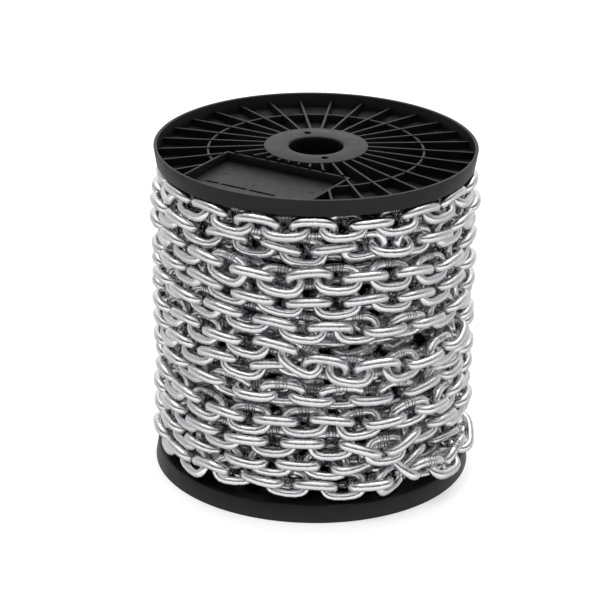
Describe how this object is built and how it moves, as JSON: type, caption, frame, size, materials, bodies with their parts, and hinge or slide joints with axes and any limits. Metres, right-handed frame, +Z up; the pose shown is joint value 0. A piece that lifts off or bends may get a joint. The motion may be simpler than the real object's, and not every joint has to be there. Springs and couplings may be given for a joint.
{
  "type": "reel of steel chain",
  "caption": "Flanged plastic reel with ribbed ends and a central axle bore, wound full with bright zinc-plated short-link steel chain.",
  "frame": {"origin": "on the reel's axis, at the level of the floor that the lower flange stands on", "axes": "+Z up along the reel's axis, away from the lower flange; +X to the right as the picture shows it; +Y away from the picture's camera"},
  "size_m": [0.2088, 0.2022, 0.2104],
  "materials": {
    "reel_plastic": "black injection-moulded plastic, satin, faintly grained",
    "zinc_plated_steel": "bright zinc plating over drawn and welded wire"
  },
  "bodies": {
    "root": {"top_flange": "reel_plastic", "bottom_flange": "reel_plastic", "barrel": "reel_plastic", "chain_inner_layer": "zinc_plated_steel", "chain_outer_layer": "zinc_plated_steel"}
  },
  "joints": []
}
